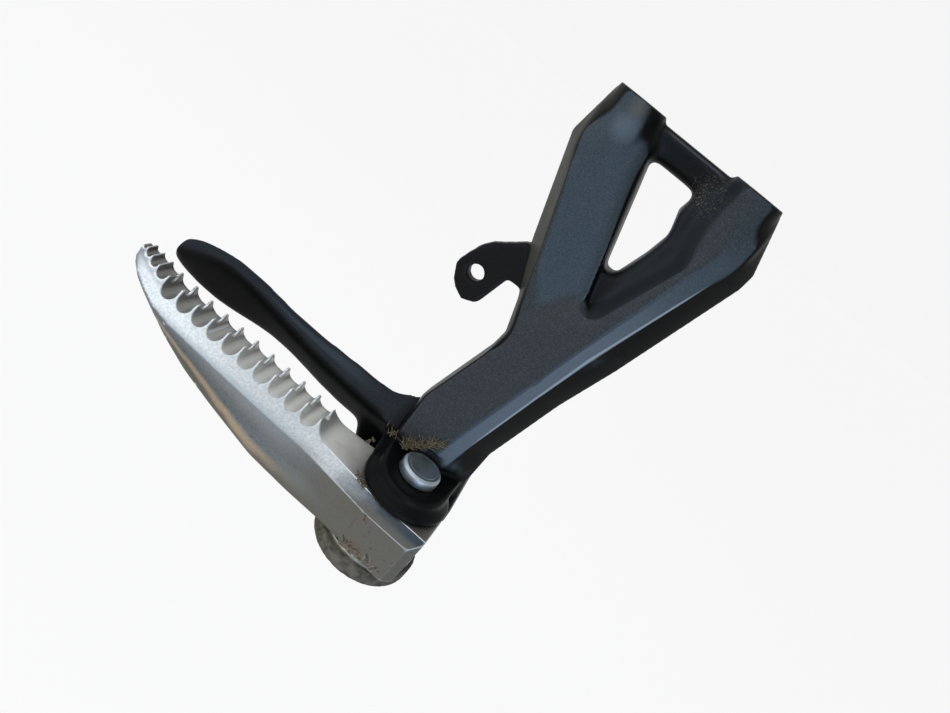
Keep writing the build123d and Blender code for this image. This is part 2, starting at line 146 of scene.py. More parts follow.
def add_node(tree, kind, settings=(), inputs=(), stops=()):
    """Adds a node, sets its properties, fills or links its inputs, and sets a ramp's stops."""
    made = tree.nodes.new(kind)
    for name, value in dict(settings).items():
        setattr(made, name, value)
    for name, value in dict(inputs).items():
        if isinstance(value, bpy.types.NodeSocket):
            tree.links.new(value, made.inputs[name])
        else:
            made.inputs[name].default_value = value
    if stops:
        ramp = made.color_ramp.elements
        while len(ramp) < len(stops):
            ramp.new(1.0)
        for stop, (place, colour) in zip(ramp, stops):
            stop.position = place
            stop.color = colour if hasattr(colour, "__len__") else (colour, colour, colour, 1.0)
    return made


def new_material(name):
    """Empty node material, with its tree and its Principled shader."""
    material = bpy.data.materials.new(name)
    material.use_nodes = True
    tree = material.node_tree
    return material, tree, tree.nodes["Principled BSDF"]


def product(tree, first, *others):
    """Mask that is all of its masks multiplied together."""
    for other in others:
        first = add_node(tree, *MULTIPLY, {0: first, 1: other}).outputs[0]
    return first


def lay_over(tree, base, layers):
    """Colour with each layer laid over the last one by its mask."""
    for mask, colour in layers:
        mixed = add_node(tree, *COLOUR_MIX, {0: mask, COLOUR_A: base, COLOUR_B: colour})
        base = mixed.outputs[COLOUR_OUT]
    return base


def surface_points(tree):
    """Object coordinates, their parts, and the parts of the direction that the surface faces."""
    coordinates = add_node(tree, "ShaderNodeTexCoord")
    place = coordinates.outputs["Object"]
    parts = add_node(tree, "ShaderNodeSeparateXYZ", inputs={"Vector": place})
    facing = add_node(tree, "ShaderNodeSeparateXYZ", inputs={"Vector": coordinates.outputs["Normal"]})
    return place, parts.outputs, facing.outputs


def make_masks(tree, place, fades, spots, ramps):
    """A material's masks by name.

    A fade gives a value, where it starts and ends, and its lowest and highest share. A spot gives a place,
    an inner and an outer radius in millimetres, and its share inside. A ramp gives a value and its stops.
    """
    masks = {}
    for name, value, start, end, low, high in fades:
        faded = add_node(
            tree, *SMOOTH_RANGE,
            {"Value": value, "From Min": start, "From Max": end, "To Min": low, "To Max": high})
        masks[name] = faded.outputs[0]
    for name, spot_mm, inner, outer, share in spots:
        away = add_node(
            tree, "ShaderNodeVectorMath", {"operation": "DISTANCE"}, {0: place, 1: Vector(spot_mm) * MM})
        near = add_node(
            tree, *SMOOTH_RANGE,
            {"Value": away.outputs["Value"], "From Min": inner * MM, "From Max": outer * MM,
             "To Min": share, "To Max": 0.0})
        masks[name] = near.outputs[0]
    for name, value, stops in ramps:
        masks[name] = add_node(tree, "ShaderNodeValToRGB", inputs={"Fac": value}, stops=stops).outputs[0]
    return masks


def make_noises(tree, place, noises):
    """Noise patterns by name, each with its size in millimetres and its detail."""
    made = {}
    for name, size_mm, detail in noises:
        noise_node = add_node(
            tree, "ShaderNodeTexNoise", inputs={"Vector": place, "Scale": per(size_mm), "Detail": detail})
        made[name] = noise_node.outputs["Fac"]
    return made


def merged_copy(node):
    """Bmesh of a CAD node's triangles, joined into one closed skin."""
    mesh = bmesh.new()
    mesh.from_mesh(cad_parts[node].data)
    bmesh.ops.remove_doubles(mesh, verts=mesh.verts, dist=0.002 * MM)
    return mesh


def new_piece(name, mesh, material, body):
    """Object at the origin that holds a finished bmesh, shaded smooth, and rides on a body."""
    data = bpy.data.meshes.new(name)
    mesh.to_mesh(data)
    mesh.free()
    data.shade_smooth()
    data.materials.append(material)
    piece = bpy.data.objects.new(name, data)
    bpy.context.scene.collection.objects.link(piece)
    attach(piece, body)
    return piece


def soften(mesh, verts, passes):
    """Rounds edges and inner corners by moving each point towards its neighbours."""
    for _ in range(passes):
        bmesh.ops.smooth_vert(
            mesh, verts=verts, factor=0.5, use_axis_x=True, use_axis_y=True, use_axis_z=True)


def cast_skin(node, voxel, passes):
    """Even skin of a CAD node with its edges and inner corners rounded as sand or a die leaves them."""
    mesh = merged_copy(node)
    data = bpy.data.meshes.new(node + "_source")
    mesh.to_mesh(data)
    mesh.free()
    source = bpy.data.objects.new(node + "_source", data)
    bpy.context.scene.collection.objects.link(source)
    remesh = source.modifiers.new("skin", "REMESH")
    remesh.mode = "VOXEL"
    remesh.voxel_size = voxel
    bpy.context.view_layer.update()
    graph = bpy.context.evaluated_depsgraph_get()
    skin = bmesh.new()
    skin.from_object(source, graph)
    bpy.data.objects.remove(source)
    if not skin.faces:
        skin.free()
        raise RuntimeError(f"the skin of {node} came out empty")
    soften(skin, skin.verts, passes)
    return skin


def ease(mesh, inside, passes):
    """Softens a region in six rings that shrink inward, so that its border shows no step."""
    chosen = list(mesh.verts)
    for ring in range(6):
        inset = 0.7 * MM * ring
        chosen = [vert for vert in chosen if inside(vert.co, inset)]
        soften(mesh, chosen, passes)


def keep_bore(mesh, x, y, radius, low):
    """Moves the wall of an upright bore back out to its radius, above a height."""
    for vert in mesh.verts:
        away = math.hypot(vert.co.x - x, vert.co.y - y)
        if vert.co.z > low and 0 < away < radius:
            vert.co.x = x + (vert.co.x - x) * radius / away
            vert.co.y = y + (vert.co.y - y) * radius / away


def dent(mesh, marks):
    """Presses marks into a skin and notes how deep, each by its place, radius and depth in millimetres."""
    pressed = mesh.verts.layers.float.new(PRESSED)
    tree = KDTree(len(mesh.verts))
    for vert in mesh.verts:
        tree.insert(vert.co, vert.index)
    tree.balance()
    mesh.verts.ensure_lookup_table()
    mesh.normal_update()
    for place, radius, depth in marks:
        for _, index, away in tree.find_range(place, radius * MM):
            vert = mesh.verts[index]
            share = 0.5 + 0.5 * math.cos(math.pi * away / (radius * MM))
            vert.co -= vert.normal * share * depth * MM
            vert[pressed] += share * depth


class CastingSettings(bpy.types.PropertyGroup):
    """Finish of the painted casting."""
    voxel: FloatProperty(
        name="Skin step", description="Size of the casting's mesh faces", default=0.59 * MM, unit="LENGTH",
        precision=5)
    passes: IntProperty(
        name="Edge rounding", description="Smoothing passes over the cast edges", default=3, min=0)
    hollows: IntProperty(
        name="Hollow rounding", description="Extra smoothing passes in each ring of the hollows", default=14,
        min=0)
    paint: colour_property("Paint", "Satin black enamel, as it is where it is sheltered", "#08090a")
    # Painted light: the grey that the front faces get for the light they catch
    faded: colour_property("Faded paint", "Enamel greyed by sun and dust on the front faces", "#383b3e")
    # Painted sky reflection: the blue sheen on the left arm, the strip and the guard's ridge; on the back it
    # is laid as dust in patches
    bloom: colour_property("Blue bloom", "Bluer enamel on the left arm, the strip and the back", "#3f4a52")
    # Painted highlight: the brightest part of the sky sheen, half way down the strip and on the left boss
    sheen: colour_property("Brightest bloom", "Enamel half way down the strip", "#626e79")
    # Painted highlight: the bright line along the strip's lower edge and the crossbar's front edge
    rim: colour_property("Rubbed rim", "Enamel rubbed thin along the strip's lower edge", "#aab6c0")
    # Painted light: lighter enamel on the guard's upward faces
    guard: colour_property("Guard's top", "Enamel on the guard's upper faces", "#20262c")
    # Painted light: a grey on the pocket's inward slope and on the front faces by the right boss
    pocket: colour_property("Pocket", "Enamel on the pocket's slope", "#33383c")
    grime: colour_property("Flank dust", "Brownish dust low on the flank", "#2d2c29")
    fleck: colour_property("Fleck", "Metal fleck in the enamel", "#8e9aa5")
    # Edge wear, and a painted highlight along the edges as well
    wear_and_highlight: colour_property("Rubbed edge", "Enamel rubbed grey along its edges", "#4e555b")
    # Also laid low on the lower ear, as mud and as a painted reflection of the pale floor
    dust: colour_property("Road dust", "Dust by the crossbar and on the lower ear", "#6f6b60")
    # Painted light and dust: the olive tone on the side that faces back
    film: colour_property("Dust film", "Thin olive film on the side that faces back", "#53544d")


class FootrestSettings(bpy.types.PropertyGroup):
    """Finish of the bare aluminium footrest."""
    voxel: FloatProperty(
        name="Skin step", description="Size of the footrest's mesh faces", default=0.4 * MM, unit="LENGTH",
        precision=5)
    passes: IntProperty(
        name="Edge rounding", description="Smoothing passes over the cast edges", default=3, min=0)
    flank: IntProperty(
        name="Flank smoothing", description="Extra smoothing passes in each ring of the flank", default=16,
        min=0)
    # Rubbed by boots, and also the painted bright reflection on the strip and painted highlights on edges
    bright: colour_property("Bright metal", "Aluminium rubbed bright by boots", "#c4cacd")
    satin: colour_property("Satin metal", "Tumbled aluminium below the strip", "#7b858d")
    dull: colour_property("Dull metal", "Aluminium lower down the flank", "#484c4f")
    # Painted reflection: the strip's duller reflection beside the block
    dim_strip_reflection: colour_property("Stained metal", "Grey stain on the strip beside the block", "#2f363d")
    pale: colour_property("Pale metal", "Aluminium in the scoops by the root", "#dcddd9")
    # Painted reflection: the warm line low on the flank
    painted_reflection: colour_property("Tarnish", "Warm tarnish low on the flank", "#a8967c")
    oxide: colour_property("Oxide", "Matte oxide on the block's front", "#5c5b53")
    # Also painted shade in the scoops towards their ends
    grime: colour_property("Grime", "Brown dirt in gouges and corners", "#2c2620")
    soil: colour_property("Soil", "Paler grit packed in the gouges", "#6a5e4d")


class SteelSettings(bpy.types.PropertyGroup):
    """Finish of the pin, its fittings and the detent."""
    steel: colour_property("Turned steel", "Bare turned steel of the pin", "#98a3ab")
    zinc: colour_property("Zinc plate", "Zinc plate on washer and detent plate", "#a9aba5")
    oiled: colour_property("Oiled steel", "Oiled spring steel", "#5d5f60")


class DirtSettings(bpy.types.PropertyGroup):
    """Dried grass and mud round the clevis."""
    straw: colour_property("Straw", "Dried grass", "#94886f")
    mud: colour_property("Mud", "Dried mud", "#857863")
    blades: IntProperty(name="Blades", description="Bits of grass behind the pin's head", default=230, min=1)
    crumbs: IntProperty(name="Crumbs", description="Crumbs of mud", default=60, min=1)


class StageSettings(bpy.types.PropertyGroup):
    """Floor, light and camera."""
    floor: colour_property("Floor", "Pale floor", "#fafafa")
    shade: colour_property("Floor's bounce", "Grey that the floor throws back at the part", "#8a8a8a")
    drop: FloatProperty(
        name="Floor below", description="Gap between the part and the floor", default=180 * MM, unit="LENGTH")
    key: FloatProperty(name="Sky lamp", description="Power of the big soft lamp", default=13.0, min=0)
    window: FloatProperty(
        name="Window lamp", description="Power of the blue lamp at the right", default=0.5, min=0)
    warm: FloatProperty(name="Warm lamp", description="Power of the warm lamp below", default=0.05, min=0)
    world: FloatProperty(name="Room light", description="Strength of the room's light", default=0.2, min=0)


def painted_casting_material(settings):
    """Satin black enamel with fine metal fleck, sprayed on cast aluminium.

    Faces that look outward carry a painted light grey for the light they catch, and a painted blue sky sheen
    where they turn to the sky; sheltered ones stay black. The gloss is soft and broad, the strip's lower rim
    carries a painted highlight line, and dust sits in the corners.
    """
    material, tree, shader = new_material("satin_black_enamel")
    place, spot, facing = surface_points(tree)
    curve = add_node(tree, "ShaderNodeNewGeometry").outputs["Pointiness"]
    grain = make_noises(tree, place, (
        ("patches", 2.5, 5.0), ("scuffs", 4, 6.0), ("dust", 0.5, 4.0), ("peel", 1.2, 2.0)))
    # Flecks are about 0.05 mm, drawn at 0.25 mm so that they show
    cells = add_node(tree, "ShaderNodeTexVoronoi", inputs={"Vector": place, "Scale": per(0.25)})
    chance = add_node(tree, "ShaderNodeSeparateColor", inputs={"Color": cells.outputs["Color"]})
    fades = (
        ("outward", facing["Y"], -0.78, -0.88, 0.0, 1.0),
        ("forward", spot["Y"], FRONT_Y + 4.6 * MM, FRONT_Y + 2.8 * MM, 0.12, 1.0),
        ("above_ear", spot["Z"], -127 * MM, -123 * MM, 0.0, 1.0),
        ("turned", facing["X"], 0.05, 0.17, 0.0, 1.0),
        ("steep", facing["X"], 0.2, 0.36, 0.0, 1.0),
        ("halfway", spot["Z"], -22 * MM, -62 * MM, 0.1, 1.0),
        ("backward", facing["X"], -0.5, -0.8, 0.0, 1.0),
        ("outer", spot["X"], 0.0, -7 * MM, 0.0, 0.85),
        ("upper", spot["Z"], -68 * MM, -56 * MM, 0.0, 1.0),
        ("below_boss", spot["Z"], -8 * MM, -22 * MM, 0.25, 1.0),
        ("inward", facing["X"], -0.2, -0.6, 0.0, 0.55),
        ("inner", spot["X"], 3 * MM, 8 * MM, 0.0, 1.0),
        ("beside", spot["X"], 5 * MM, 8 * MM, 0.0, 1.0),
        ("along", spot["Z"], -24 * MM, -36 * MM, 0.0, 1.0),
        ("sideways", facing["X"], 0.5, 0.62, 0.0, 1.0),
        ("deep", spot["Y"], -4.5 * MM, 3 * MM, 0.0, 0.8),
        ("upward", facing["Z"], 0.3, 0.62, 0.0, 1.0),
        ("on_guard", spot["X"], -16 * MM, -22 * MM, 0.0, 1.0),
        ("low", spot["Z"], -114 * MM, -118 * MM, 0.0, 1.0),
        ("bottom", spot["Z"], -155 * MM, -156.5 * MM, 0.0, 1.0),
        ("by_ear", spot["Y"], 3 * MM, -3 * MM, 0.0, 1.0),
        ("behind", facing["Y"], 0.3, 0.8, 0.0, 0.9),
    )
    spots = (
        ("ramp", (1, -7, -60), 5, 10, 0.9),
        ("left_arm", (-20, -7, -8), 16, 24, 0.9),
        ("left_boss", (-18.5, -7, -8), 1, 6, 0.75),
        ("right_boss", (23, -8, -5), 5, 17, 0.8),
        ("guard_middle", (-58, 0, -126), 8, 34, 1.0),
        ("corner", (9, -3, -9), 2, 9, 0.8),
        ("shade", (-14.5, -6.5, -1.0), 1, 5, 0.95),
        ("smear", (-19, -8, -2.5), 0.5, 4, 0.5),
        ("crossbar", (0, -1, -1.5), 7, 12, 1.0),
    )
    ramps = (
        ("crest", facing["X"], ((0.43, 0.0), (0.48, 0.9), (0.54, 0.9), (0.59, 0.0))),
        ("crown", facing["Z"], ((0.66, 0.0), (0.76, 0.6), (0.86, 0.6), (0.95, 0.0))),
        ("rounded", facing["Z"], ((0.4, 0.0), (0.5, 0.12), (0.58, 0.12), (0.68, 0.0))),
        ("patchy", grain["patches"], ((0.35, 0.4), (0.6, 1.0))),
        ("scuffed", grain["scuffs"], ((0.42, 0.15), (0.66, 0.6))),
        ("grainy", grain["dust"], ((0.55, 0.0), (0.68, 1.0))),
        ("sparkle", chance.outputs["Red"], ((0.35, 0.0), (1.0, 0.11))),
        ("edge", curve, ((0.53, 0.0), (0.6, 1.0))),
    )
    mask = make_masks(tree, place, fades, spots, ramps)
    # Painted light on the front faces: what looks outward and isn't set back, and the ramp at the fork, gets
    # a lit grey
    lit_face = add_node(tree, *LARGER, {0: mask["outward"], 1: mask["ramp"]})
    front = product(tree, lit_face.outputs[0], mask["forward"], mask["above_ear"])
    # Painted sky sheen: the left arm and the strip turn to the right and get a blue sheen, with a painted
    # highlight half way down the strip and on the left boss
    bluer = add_node(tree, *LARGER, {0: mask["turned"], 1: mask["left_arm"]})
    strip = product(tree, mask["steep"], mask["halfway"])
    bright = add_node(tree, *LARGER, {0: strip, 1: mask["left_boss"]})
    lit = lay_over(tree, settings.faded, (
        (bluer.outputs[0], settings.bloom), (bright.outputs[0], settings.sheen),
        (mask["right_boss"], settings.pocket)))
    # Painted light and a thin dust film: an olive tone on the side of the left arm that faces back; and
    # painted light on the pocket's slope
    film = product(tree, mask["backward"], mask["outer"], mask["upper"], mask["below_boss"])
    pocket = product(tree, mask["inward"], mask["inner"])
    # Painted highlight: a bright line between the strip and the flank, and dust on the flank below it
    rim = product(tree, mask["crest"], mask["forward"], mask["beside"], mask["along"], mask["above_ear"])
    flank = product(tree, mask["sideways"], mask["deep"])
    # Painted light on the guard's top faces, and a painted sky sheen on its ridge half way along
    lit_guard_top = product(tree, mask["upward"], mask["on_guard"], mask["low"])
    ridge = product(tree, mask["crown"], mask["on_guard"], mask["low"], mask["guard_middle"])
    # Mud, which is also a painted reflection of the pale floor, low on the lower ear, and dust in patches on
    # the back
    mud_and_floor_reflection = product(tree, mask["bottom"], mask["by_ear"], mask["patchy"])
    dusted = product(tree, mask["behind"], mask["patchy"])
    body = lay_over(tree, settings.paint, (
        (dusted, settings.bloom), (front, lit), (film, settings.film), (pocket, settings.pocket),
        (flank, settings.grime), (lit_guard_top, settings.guard), (ridge, settings.bloom),
        (rim, settings.rim), (mud_and_floor_reflection, settings.dust)))
    fleck_share = add_node(tree, *MULTIPLY_ADD, {0: lit_guard_top, 1: 0.3, 2: front})
    fleck = product(tree, mask["sparkle"], fleck_share.outputs[0])
    # Outer edges are rubbed grey, which is also a painted highlight along them, broken up by scuffs of about
    # 4 mm
    rubbed = product(tree, mask["edge"], mask["scuffed"])
    # Dust grains of about 0.5 mm by the crossbar's right end, and a painted highlight on its faint front edge
    dusty = product(tree, mask["corner"], mask["grainy"])
    bar_edge_highlight = product(tree, mask["rounded"], mask["crossbar"])
    finish = lay_over(tree, body, (
        (fleck, settings.fleck), (bar_edge_highlight, settings.rim), (mask["shade"], settings.paint),
        (mask["smear"], settings.dust), (rubbed, settings.wear_and_highlight), (dusty, settings.dust)))
    tree.links.new(finish, shader.inputs["Base Color"])
    rough = add_node(
        tree, "ShaderNodeMapRange",
        inputs={"Value": grain["scuffs"], "From Min": 0.3, "From Max": 0.7, "To Min": 0.34, "To Max": 0.44})
    rougher = add_node(tree, *MULTIPLY_ADD, {0: mud_and_floor_reflection, 1: 0.4, 2: rough.outputs[0]})
    tree.links.new(rougher.outputs[0], shader.inputs["Roughness"])
    # Orange peel of about 1.2 mm under the fleck
    peel = add_node(
        tree, "ShaderNodeBump", inputs={"Strength": 0.2, "Distance": 0.03 * MM, "Height": grain["peel"]})
    grit = add_node(
        tree, "ShaderNodeBump",
        inputs={"Strength": 0.8, "Distance": 0.1 * MM, "Height": dusty, "Normal": peel.outputs[0]})
    tree.links.new(grit.outputs[0], shader.inputs["Normal"])
    shader.inputs["Specular IOR Level"].default_value = 0.06
    return material


def bare_casting_material(settings):
    """Aluminium casting tumbled smooth, rubbed bright by boots, with its oxide left on the block's front.

    Bright satin metal on the strip towards the tip, partly a painted reflection, duller on the flank, a
    painted warm reflection low on the flank, painted shade in the scoops towards the tip, matte olive grey
    where it wasn't rubbed, and gritty in gouges and pits.
    """
    material, tree, shader = new_material("tumbled_cast_aluminium")
    place, spot, facing = surface_points(tree)
    curve = add_node(tree, "ShaderNodeNewGeometry").outputs["Pointiness"]
    pressed = add_node(tree, "ShaderNodeAttribute", {"attribute_name": PRESSED}).outputs["Fac"]
    grain = make_noises(tree, place, (("patches", 9, 5.0), ("speckle", 0.7, 4.0), ("fine", 0.5, 3.0)))
    # Share of the way from the block to the tip, with an uneven edge to each zone
    reach = add_node(
        tree, "ShaderNodeMapRange",
        inputs={"Value": spot["X"], "From Min": FOOT_HIGH.x, "From Max": FOOT_LOW.x, "To Min": -0.06,
                "To Max": 0.94})
    along = add_node(tree, *MULTIPLY_ADD, {0: grain["patches"], 1: 0.12, 2: reach.outputs[0]}).outputs[0]
    # Share of the way down the flank, whose height falls from 20 mm to 5 mm at the tip
    height = add_node(
        tree, "ShaderNodeMapRange",
        inputs={"Value": spot["X"], "From Min": -50 * MM, "From Max": FOOT_LOW.x, "To Min": 20 * MM,
                "To Max": 5 * MM})
    below = add_node(tree, "ShaderNodeMath", {"operation": "SUBTRACT"}, {0: DECK_Z, 1: spot["Z"]}).outputs[0]
    share = add_node(tree, "ShaderNodeMath", {"operation": "DIVIDE"}, {0: below, 1: height.outputs[0]})
    level = add_node(tree, *MULTIPLY_ADD, {0: grain["patches"], 1: 0.16, 2: share.outputs[0]}).outputs[0]
    fades = (
        ("inside", facing["Y"], -0.45, -0.15, 0.0, 1.0),
        ("down", level, 0.2, 0.75, 0.0, 0.8),
        ("away", spot["X"], -22 * MM, -42 * MM, 0.2, 1.0),
        ("foot", level, 0.9, 1.0, 0.0, 1.0),
        ("by_block", spot["X"], -48 * MM, -18 * MM, 0.0, 0.9),
        ("upward", facing["Z"], 0.1, 0.62, 0.0, 1.0),
        ("near_top", below, 5.0 * MM, 1.6 * MM, 0.1, 1.0),
        ("upright", facing["Z"], 0.55, 0.3, 0.0, 1.0),
        ("front", spot["Y"], FOOT_LOW.y + 2.6 * MM, FOOT_LOW.y + 0.2 * MM, 0.0, 1.0),
        ("under", facing["Z"], -0.3, -0.8, 0.0, 1.0),
        ("packed", pressed, 0.03, 0.16, 0.0, 0.95),
        ("low_side", facing["Z"], 0.6, 0.4, 0.0, 1.0),
        ("by_clevis", spot["X"], -34 * MM, -22 * MM, 0.0, 1.0),
        ("fore", facing["Y"], -0.2, -0.3, 0.0, 1.0),
        ("on_strip", below, 6 * MM, 5 * MM, 0.0, 1.0),
    )
    spots = (
        ("gouge", (-1.2, FOOT_LOW.y / MM, -152.8), 1.5, 6.0, 0.9),
        ("bend", (-6, FOOT_LOW.y / MM, -146), 8, 11, 1.0),
    )
    ramps = (
        ("boots", along, (
            (0.0, 0.0), (0.16, 0.03), (0.3, 0.65), (0.45, 0.62), (0.62, 0.72), (0.8, 0.95), (1.0, 1.0))),
        ("scoop_shade", along, ((0.0, 0.12), (0.2, 0.22), (0.32, 0.85), (0.55, 0.85), (0.75, 0.45), (1.0, 0.15))),
        ("warm", level, ((0.74, 0.0), (0.83, 0.7), (0.88, 0.6), (0.95, 0.0))),
        ("corner", curve, ((0.36, 0.7), (0.46, 0.0))),
        ("coarse", grain["speckle"], ((0.42, 0.0), (0.54, 1.0))),
        ("pits", grain["speckle"], ((0.6, 0.0), (0.72, 0.3))),
        ("edge", curve, ((0.515, 0.0), (0.57, 0.9))),
        ("turning", facing["Z"], (
            (0.12, 0.0), (0.25, 0.5), (0.42, 0.5), (0.58, 0.0), (0.78, 0.0), (0.84, 0.9), (0.91, 0.9),
            (0.96, 0.0))),
    )
    mask = make_masks(tree, place, fades, spots, ramps)
    speckled = add_node(
        tree, "ShaderNodeMapRange",
        inputs={"Value": grain["speckle"], "From Min": 0.35, "From Max": 0.65, "To Min": 0.75, "To Max": 1.0})
    clouds = add_node(
        tree, "ShaderNodeMapRange",
        inputs={"Value": grain["patches"], "From Min": 0.35, "From Max": 0.65, "To Min": 0.7, "To Max": 1.0})
    # Painted reflection on the strip: darker by the block and brighter to the tip; the scoops are pale at the
    # root and darken, a painted shade
    strip_share = product(tree, mask["boots"], speckled.outputs[0])
    strip = lay_over(tree, settings.dim_strip_reflection, ((strip_share, settings.bright),))
    scoops = lay_over(tree, settings.grime, ((mask["scoop_shade"], settings.pale),))
    # Flank: satin below the strip, darker down, a painted warm reflection line near its foot, dark under it
    dulled = product(tree, mask["down"], speckled.outputs[0])
    reflection_line = product(tree, mask["warm"], mask["away"])
    flank = lay_over(tree, settings.satin, (
        (dulled, settings.dull), (reflection_line, settings.painted_reflection), (mask["foot"], settings.oxide),
        (mask["by_block"], settings.oxide)))
    # The strip is rubbed most near its top edge and gets painted light on its upward faces, and runs softly
    # into the flank
    rubbed = add_node(tree, *LARGER, {0: mask["near_top"], 1: mask["by_block"]})
    strip_mask = product(tree, mask["upward"], rubbed.outputs[0])
    metal = lay_over(tree, flank, ((strip_mask, strip), (mask["inside"], scoops)))
    # Unrubbed skin: the block's front face and what faces the ground
    skin = add_node(tree, *LARGER, {0: mask["front"], 1: mask["under"]})
    oxide = product(tree, skin.outputs[0], clouds.outputs[0])
    # Dirt packed in gouges, cuts and pits and in corners, and dark brown on the faces that look down
    smeared = product(tree, mask["gouge"], mask["coarse"])
    dark_underside = product(tree, mask["under"], clouds.outputs[0])
    dirt = add_node(tree, *LARGER, {0: mask["corner"], 1: mask["packed"]})
    dirtier = add_node(tree, *LARGER, {0: dirt.outputs[0], 1: smeared})
    grit = lay_over(tree, settings.grime, ((mask["coarse"], settings.soil),))
    # Pits of the casting's skin on the flank and the block, drawn 0.7 mm apart
    pitted = product(tree, mask["pits"], mask["low_side"])
    # Edges are rubbed bright, which is also a painted highlight, but not at the upright bend between the
    # block and the flank
    off_bend = add_node(tree, *MULTIPLY_ADD, {0: mask["bend"], 1: -1.0, 2: 1.0})
    polished = product(tree, mask["edge"], off_bend.outputs[0])
    # Painted highlight: a bright line on the strip's turns by the clevis
    line = product(tree, mask["turning"], mask["by_clevis"], mask["fore"], mask["on_strip"])
    finish = lay_over(tree, metal, (
        (oxide, settings.oxide), (pitted, settings.grime), (line, settings.bright), (dark_underside, settings.grime),
        (dirtier.outputs[0], grit), (polished, settings.bright)))
    tree.links.new(finish, shader.inputs["Base Color"])
    dull_flank = product(tree, mask["by_block"], mask["upright"])
    dull_block = add_node(tree, *LARGER, {0: oxide, 1: dull_flank})
    dull = add_node(tree, *LARGER, {0: dull_block.outputs[0], 1: dirtier.outputs[0]})
    shine = add_node(tree, *MULTIPLY_ADD, {0: dull.outputs[0], 1: -0.85, 2: 0.95})
    less = add_node(tree, *MULTIPLY_ADD, {0: mask["inside"], 1: -0.35, 2: shine.outputs[0]})
    tree.links.new(less.outputs[0], shader.inputs["Metallic"])
    rough = add_node(
        tree, "ShaderNodeMapRange",
        inputs={"Value": grain["fine"], "From Min": 0.3, "From Max": 0.7, "To Min": 0.34, "To Max": 0.5})
    rougher = add_node(tree, *MULTIPLY_ADD, {0: dull.outputs[0], 1: 0.25, 2: rough.outputs[0]})
    tree.links.new(rougher.outputs[0], shader.inputs["Roughness"])
    # Scratches run along the footrest, some 20 mm long and 0.8 mm apart, over a grain of 0.5 mm
    stretched = add_node(
        tree, "ShaderNodeMapping", inputs={"Vector": place, "Scale": (per(20), per(0.8), per(0.8))})
    scratches = add_node(
        tree, "ShaderNodeTexNoise",
        inputs={"Vector": stretched.outputs["Vector"], "Scale": 1.0, "Detail": 4.0})
    fine = add_node(
        tree, "ShaderNodeBump", inputs={"Strength": 0.9, "Distance": 0.08 * MM, "Height": grain["fine"]})
    scored = add_node(
        tree, "ShaderNodeBump",
        inputs={"Strength": 0.5, "Distance": 0.06 * MM, "Height": scratches.outputs["Fac"],
                "Normal": fine.outputs[0]})
    tree.links.new(scored.outputs[0], shader.inputs["Normal"])
    return material


def steel_material(name, colour, roughness, ring):
    """Steel turned on a lathe: grey metal with faint rings about the pin's axis every so many millimetres."""
    material, tree, shader = new_material(name)
    place = add_node(tree, "ShaderNodeTexCoord").outputs["Object"]
    centred = add_node(
        tree, "ShaderNodeMapping", inputs={"Vector": place, "Location": (-PIN_X, -PIN_Y, 0.0)})
    flat = add_node(
        tree, "ShaderNodeVectorMath", {"operation": "MULTIPLY"},
        {0: centred.outputs["Vector"], 1: (1.0, 1.0, 0.0)})
    out = add_node(tree, "ShaderNodeVectorMath", {"operation": "LENGTH"}, {0: flat.outputs["Vector"]})
    turns = add_node(tree, *MULTIPLY, {0: out.outputs["Value"], 1: per(ring) * 2 * math.pi})
    rings = add_node(tree, "ShaderNodeMath", {"operation": "SINE"}, {0: turns.outputs[0]})
    stain = make_noises(tree, place, (("stain", 2.5, 6.0),))["stain"]
    dark = tuple(0.7 * share for share in colour[:3]) + (1.0,)
    tint = add_node(
        tree, *COLOUR_MIX, {0: stain, COLOUR_A: tuple(colour), COLOUR_B: dark})
    tree.links.new(tint.outputs[COLOUR_OUT], shader.inputs["Base Color"])
    rough = add_node(
        tree, "ShaderNodeMapRange",
        inputs={"Value": stain, "From Min": 0.3, "From Max": 0.7, "To Min": roughness,
                "To Max": roughness + 0.12})
    tree.links.new(rough.outputs["Result"], shader.inputs["Roughness"])
    raised = add_node(
        tree, "ShaderNodeBump", inputs={"Strength": 0.3, "Distance": 0.01 * MM, "Height": rings.outputs[0]})
    tree.links.new(raised.outputs[0], shader.inputs["Normal"])
    shader.inputs["Metallic"].default_value = 1.0
    return material


def dry_material(name, colour, grain):
    """Dried plant or earth: matte, uneven brown with a grain of so many millimetres."""
    material, tree, shader = new_material(name)
    place = add_node(tree, "ShaderNodeTexCoord").outputs["Object"]
    mottle = make_noises(tree, place, (("mottle", grain, 4.0),))["mottle"]
    dark = tuple(0.35 * share for share in colour[:3]) + (1.0,)
    tint = add_node(
        tree, "ShaderNodeValToRGB", inputs={"Fac": mottle}, stops=((0.35, dark), (0.65, tuple(colour))))
    tree.links.new(tint.outputs["Color"], shader.inputs["Base Color"])
    raised = add_node(
        tree, "ShaderNodeBump", inputs={"Strength": 0.6, "Distance": 0.1 * MM, "Height": mottle})
    tree.links.new(raised.outputs[0], shader.inputs["Normal"])
    shader.inputs["Roughness"].default_value = 0.9
    shader.inputs["Specular IOR Level"].default_value = 0.2
    return material


